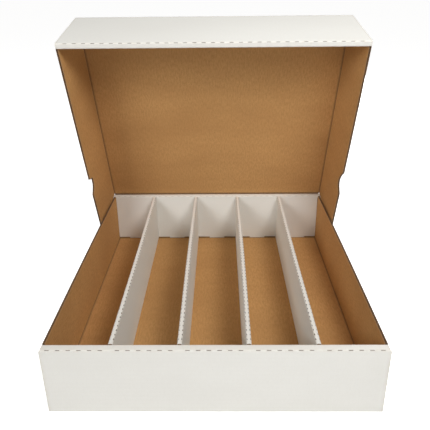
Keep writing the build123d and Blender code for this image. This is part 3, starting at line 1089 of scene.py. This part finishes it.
# ---- dividers ------------------------------------------------------------------------------
RIDGE_ROWS = np.array([5, 4, 3, 2, 1.2, 0.6]) * MM     # rows below the ridge's rounded ends
RIDGE_RUB_REACH = 2.5 * MM
LEANS = (1, -1, 1, -1)                          # which way each divider bows
FIRST_DIVIDER_SEED = 8


class CARDBOX_OT_dividers(bpy.types.Operator):
    """Four dividers, each a board folded over a perforated ridge"""

    bl_idname = "card_box.dividers"
    bl_label = "Dividers"

    def execute(self, context):
        settings = context.scene.card_box
        board_set, creases = settings.board, settings.creases
        papers = papers_of(context)
        front_corner, back_corner = creases.ridge_front, creases.ridge_back
        reach = side_high[1] - rolled_depth + board - DIVIDER_GAP
        pitch = creases.divider_pitch
        count = int((2 * reach - creases.divider_length) / pitch)
        centres = pitch * (np.arange(count) - (count - 1) / 2)
        slits = Slits(creases, centres, creases.divider_length, creases.divider_width)
        for index, name in enumerate(divider_names):
            low, high = box_of(name)
            middle = (low[0] + high[0]) / 2
            half = (high[0] - low[0]) / 2
            corners = [(-half, low[2]), (-half, high[2]), (half, high[2]), (half, low[2])]
            fold = Fold(corners, board, board_set.crease_radius, side=-1)
            lean = LEANS[index] * board_set.bow

            def place(flat, along, middle=middle, lean=lean, top=high[2]):
                """The section carried along y, bowed by a half cosine that grows with height."""
                swell = np.cos(pi * along / (2 * reach)) * flat[..., 1] / top
                return np.stack([middle + flat[..., 0] + lean * swell, along, flat[..., 1]], -1)

            extra = np.concatenate([slits.rows(crease) for crease in fold.arc_middles])
            heights = high[2] - RIDGE_ROWS - low[2]
            extra = np.concatenate([extra, heights, fold.end - heights])
            ways_list = fold.rows(0, fold.end, extra)
            columns = np.sort(np.concatenate([np.linspace(-1, 1, COLUMNS) * reach, slits.stops()]))
            ways, shares = grid(ways_list, columns)
            alongs = shares.copy()

            def ends(ways_column):
                """Front and back end of each row: straight, with a quarter circle at the ridge."""
                height = fold.at(ways_column, 0)[..., 1]
                near_front = np.clip(height - (high[2] - front_corner), 0, front_corner)
                near_back = np.clip(height - (high[2] - back_corner), 0, back_corner)
                front = -reach + front_corner - np.sqrt(front_corner ** 2 - near_front ** 2)
                back = reach - back_corner + np.sqrt(back_corner ** 2 - near_back ** 2)
                return front, back

            front, back = ends(ways_list)
            alongs[:, 0], alongs[:, -1] = front, back
            dent = np.maximum.reduce([
                slits.dent(ways, alongs, crease) for crease in fold.arc_middles])
            wear = np.maximum.reduce([
                near(ways, crease, RIDGE_RUB_REACH) for crease in fold.arc_middles])
            flute_list = flute_rows(0, fold.end, board_set.flute_pitch)
            flute_front, flute_back = ends(flute_list)
            flute_ways, flute_alongs = grid(flute_list, np.linspace(0, 1, COLUMNS))
            flute_alongs = flute_front[:, None] + flute_alongs * (
                flute_back - flute_front)[:, None]
            sheet = Sheet(place)
            add_board(sheet, fold, ways, alongs, board_set, flute_ways, flute_alongs, dent, wear,
                      crushed=fold.arc_middles)
            piece = sheet.make(f"{name}_board", papers.set, FIRST_DIVIDER_SEED + index)
            finish_piece(piece, "base", name)
        return {"FINISHED"}


# ---- hinge flap and the folding liner over the hinge line --------------------------------
HINGE_SIDE_GAP = 0.2 * MM                       # from the flap's ends to the back wall's ends
FLAP_EDGE_ROW = 2 * MM
FLAP_RUB_REACH, FLAP_END_RUB_REACH = 2.5 * MM, 1 * MM
BEND_THICKNESS = 0.2 * MM
BEND_PROUD = 0.12 * MM                          # the bend lies this far outside the boards
BEND_BELOW = 2 * MM                             # how far it reaches down the flap
BEND_ABOVE = (1.5 * MM, 3 * MM)                 # and, in two steps, up the lid
BEND_RADIUS = 0.001 * MM
BEND_POINTS = 7
BEND_RUB, BEND_RUB_REACH = 0.7, 3 * MM


class CARDBOX_OT_hinge(bpy.types.Operator):
    """Glued hinge flap, and the outer liner that bends between it and the lid"""

    bl_idname = "card_box.hinge"
    bl_label = "Hinge flap and crease"

    def execute(self, context):
        settings = context.scene.card_box
        board_set, lean = settings.board, settings.studio.lid_lean
        papers = papers_of(context)
        low, high = hinge_flap_low.copy(), hinge_flap_high.copy()
        high[0] = half_width - HINGE_SIDE_GAP
        low[0] = -high[0]
        fold = Fold([(high[1], low[2]), (high[1], high[2])], ply, board_set.crease_radius)

        def place(flat, along):
            """The section carried along x."""
            return np.stack([along, flat[..., 0], flat[..., 1]], axis=-1)

        ways, alongs = grid(
            fold.rows(0, fold.end, [FLAP_EDGE_ROW]), np.linspace(low[0], high[0], COLUMNS))
        flute_ways, flute_alongs = grid(
            flute_rows(0, fold.end, board_set.flute_pitch), (low[0], high[0]))
        wear = np.maximum(near(ways, 0, FLAP_RUB_REACH),
                          near(np.abs(alongs), high[0], FLAP_END_RUB_REACH))
        sheet = Sheet(place)
        add_board(sheet, fold, ways, alongs, board_set, flute_ways, flute_alongs, None, wear)
        finish_piece(sheet.make("lid_hinge_flap_board", papers.set, seed=12), "base",
                     "lid_hinge_flap")

        lid = OpenLid(lean)
        axis_y, axis_z = hinge_place[1:]
        radius = board / 2 + BEND_PROUD
        lid_half = lid.box_of("lid_panel")[1][0] - board_set.crease_radius
        turn = np.linspace(0, lean, BEND_POINTS)
        arc = np.stack([axis_y + radius * np.cos(turn), axis_z + radius * np.sin(turn)], axis=1)
        up_lid = [hinge_place - lid.into * radius + lid.away * step for step in BEND_ABOVE]
        line = np.concatenate([
            [[axis_y + radius, high[2] - BEND_BELOW]], [[axis_y + radius, high[2]]], arc,
            [point[1:] for point in up_lid]])
        bend = Fold(line, BEND_THICKNESS, BEND_RADIUS)
        bend_rows = bend.rows(0, bend.end)
        lid_share = bend_rows / bend.end
        ways, alongs = grid(bend_rows, np.linspace(-1, 1, COLUMNS))
        reach = high[0] + (lid_half - high[0]) * lid_share[:, None]
        sheet = Sheet(place)
        sheet.add(bend, ways, alongs * reach, 0, BEND_THICKNESS, (OUTER, INNER), None,
                  BEND_RUB * near(ways, bend.end / 2, BEND_RUB_REACH))
        liner = sheet.make("lid_hinge_liner", papers.set, seed=13)
        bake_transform(liner)
        return {"FINISHED"}


# ---- floor and lid panel keep their solids --------------------------------------------------
class CARDBOX_OT_flat_panels(bpy.types.Operator):
    """Papers of the base floor and the lid panel, brown inside and white outside"""

    bl_idname = "card_box.flat_panels"
    bl_label = "Floor and lid panel papers"

    def execute(self, context):
        settings = context.scene.card_box
        papers = papers_of(context)
        lid = OpenLid(settings.studio.lid_lean)
        floor_back = back_y - rolled_depth
        lid_far = lid.box_of("lid_front_wall_edge_strip")[0][1]
        lid_half = -lid.box_of("lid_left_wall")[1][0]
        floor_half = -side_high[0]
        boards = (
            ("base_floor", "floor board", (0, 0, floor_high[2]), (0, 1, 0), (0, 0, -1),
             (-floor_back, -floor_half, 0), (floor_back, floor_half, 0)),
            ("lid_panel", "lid board", hinge_place + lid.into * board / 2, lid.away, -lid.into,
             (0, -lid_half, 0), (lid_far, lid_half, 0)),
        )
        for node, *board_values in boards:
            # The brown side carries painted shade along its edges.
            material = papers.two_sided_board(*board_values)
            panel = frame["nodes"][node]
            panel.data.materials.clear()
            panel.data.materials.append(material)
        return {"FINISHED"}


# ---- stage ---------------------------------------------------------------------------------
SENSOR_WIDTH = 36                               # millimetres


class CARDBOX_OT_stage(bpy.types.Operator):
    """Pale floor, soft lights and the camera"""

    bl_idname = "card_box.stage"
    bl_label = "Stage"

    def execute(self, context):
        studio = context.scene.card_box.studio
        scene = context.scene
        self.floor(studio)
        self.world(scene, studio)
        for side in ("left", "right", "back"):
            self.lamp(studio, side)
        self.camera(scene, studio)
        scene.view_settings.view_transform = "Standard"
        return {"FINISHED"}

    def floor(self, studio):
        """A wide plain floor that is white to the camera and keeps the box's shadow."""
        mesh = bpy.data.meshes.new("floor")
        size = studio.floor_reach
        mesh.from_pydata([(-size, -size, 0), (size, -size, 0), (size, size, 0), (-size, size, 0)],
                         [], [(0, 1, 2, 3)])
        floor = bpy.data.objects.new("floor", mesh)
        bpy.context.scene.collection.objects.link(floor)
        material = bpy.data.materials.new("pale floor")
        tree = empty_tree(material)
        pale = add_node(tree, "ShaderNodeBsdfDiffuse", {"Color": (*studio.floor_colour, 1)})
        glow = add_node(tree, "ShaderNodeEmission", {"Strength": studio.floor_glow})
        seen = add_node(tree, "ShaderNodeAddShader", {0: pale.outputs[0], 1: glow.outputs[0]})
        self.two_looks(tree, "ShaderNodeOutputMaterial", pale, seen)
        mesh.materials.append(material)

    def world(self, scene, studio):
        """Even light from all round, white where the camera sees it."""
        world = bpy.data.worlds.new("studio")
        scene.world = world
        tree = empty_tree(world)
        fill = add_node(tree, "ShaderNodeBackground", {
            "Color": (*studio.fill_colour, 1), "Strength": studio.fill_level})
        white = add_node(tree, "ShaderNodeBackground", {"Color": (1, 1, 1, 1), "Strength": 1})
        self.two_looks(tree, "ShaderNodeOutputWorld", fill, white)

    def two_looks(self, tree, output, lighting, seen):
        """Shows one shader to the camera and lights the box with the other."""
        path = add_node(tree, "ShaderNodeLightPath")
        choice = add_node(tree, "ShaderNodeMixShader", {
            0: path.outputs["Is Camera Ray"], 1: lighting.outputs[0], 2: seen.outputs[0]})
        add_node(tree, output, {0: choice.outputs[0]})

    def lamp(self, studio, side):
        """A square soft light that faces the box."""
        light = bpy.data.lights.new(f"{side} light", "AREA")
        light.size = getattr(studio, f"{side}_size")
        light.energy = getattr(studio, f"{side}_power")
        lamp = bpy.data.objects.new(light.name, light)
        bpy.context.scene.collection.objects.link(lamp)
        lamp.location = getattr(studio, f"{side}_place")
        lamp.rotation_mode = "QUATERNION"
        facing = Vector(studio.light_target) - lamp.location
        lamp.rotation_quaternion = facing.to_track_quat("-Z", "Y")

    def camera(self, scene, studio):
        """The camera: level along +Y, then turned, tilted down and rolled about its own axes."""
        data = bpy.data.cameras.new("camera")
        data.lens = studio.lens
        data.sensor_width = SENSOR_WIDTH
        data.shift_x, data.shift_y = studio.shift_x, studio.shift_y
        camera = bpy.data.objects.new("camera", data)
        scene.collection.objects.link(camera)
        camera.matrix_world = (
            Matrix.Translation(studio.camera_place)
            @ Matrix.Rotation(pi / 2, 4, "X")
            @ Matrix.Rotation(-studio.camera_turn, 4, "Y")
            @ Matrix.Rotation(-studio.camera_tilt, 4, "X")
            @ Matrix.Rotation(studio.camera_roll, 4, "Z"))
        scene.camera = camera


OPERATORS = (
    CARDBOX_OT_base_walls, CARDBOX_OT_base_sides, CARDBOX_OT_dividers,
    CARDBOX_OT_lid_front, CARDBOX_OT_lid_sides, CARDBOX_OT_hinge,
    CARDBOX_OT_flat_panels, CARDBOX_OT_stage,
)


class CARDBOX_PT_sidebar(bpy.types.Panel):
    """Sidebar panel of the card box"""

    bl_idname = "CARDBOX_PT_sidebar"
    bl_label = "Card Box"
    bl_space_type = "VIEW_3D"
    bl_region_type = "UI"
    bl_category = "Card Box"

    def draw(self, context):
        settings = context.scene.card_box
        for group in (settings.board, settings.creases, settings.papers, settings.studio):
            box = self.layout.box()
            for name in group.bl_rna.properties.keys():
                if name not in ("rna_type", "name"):
                    box.prop(group, name)
        for operator in OPERATORS:
            self.layout.operator(operator.bl_idname)


CLASSES = (
    BoardSettings, CreaseSettings, PaperSettings, StudioSettings, CardBoxSettings,
    *OPERATORS, CARDBOX_PT_sidebar,
)


def register():
    for cls in CLASSES:
        bpy.utils.register_class(cls)
    bpy.types.Scene.card_box = PointerProperty(type=CardBoxSettings)


def unregister():
    del bpy.types.Scene.card_box
    for cls in reversed(CLASSES):
        bpy.utils.unregister_class(cls)


def main():
    register()
    for operator in OPERATORS:
        group, name = operator.bl_idname.split(".")
        getattr(getattr(bpy.ops, group), name)()


if __name__ == "__main__":
    main()
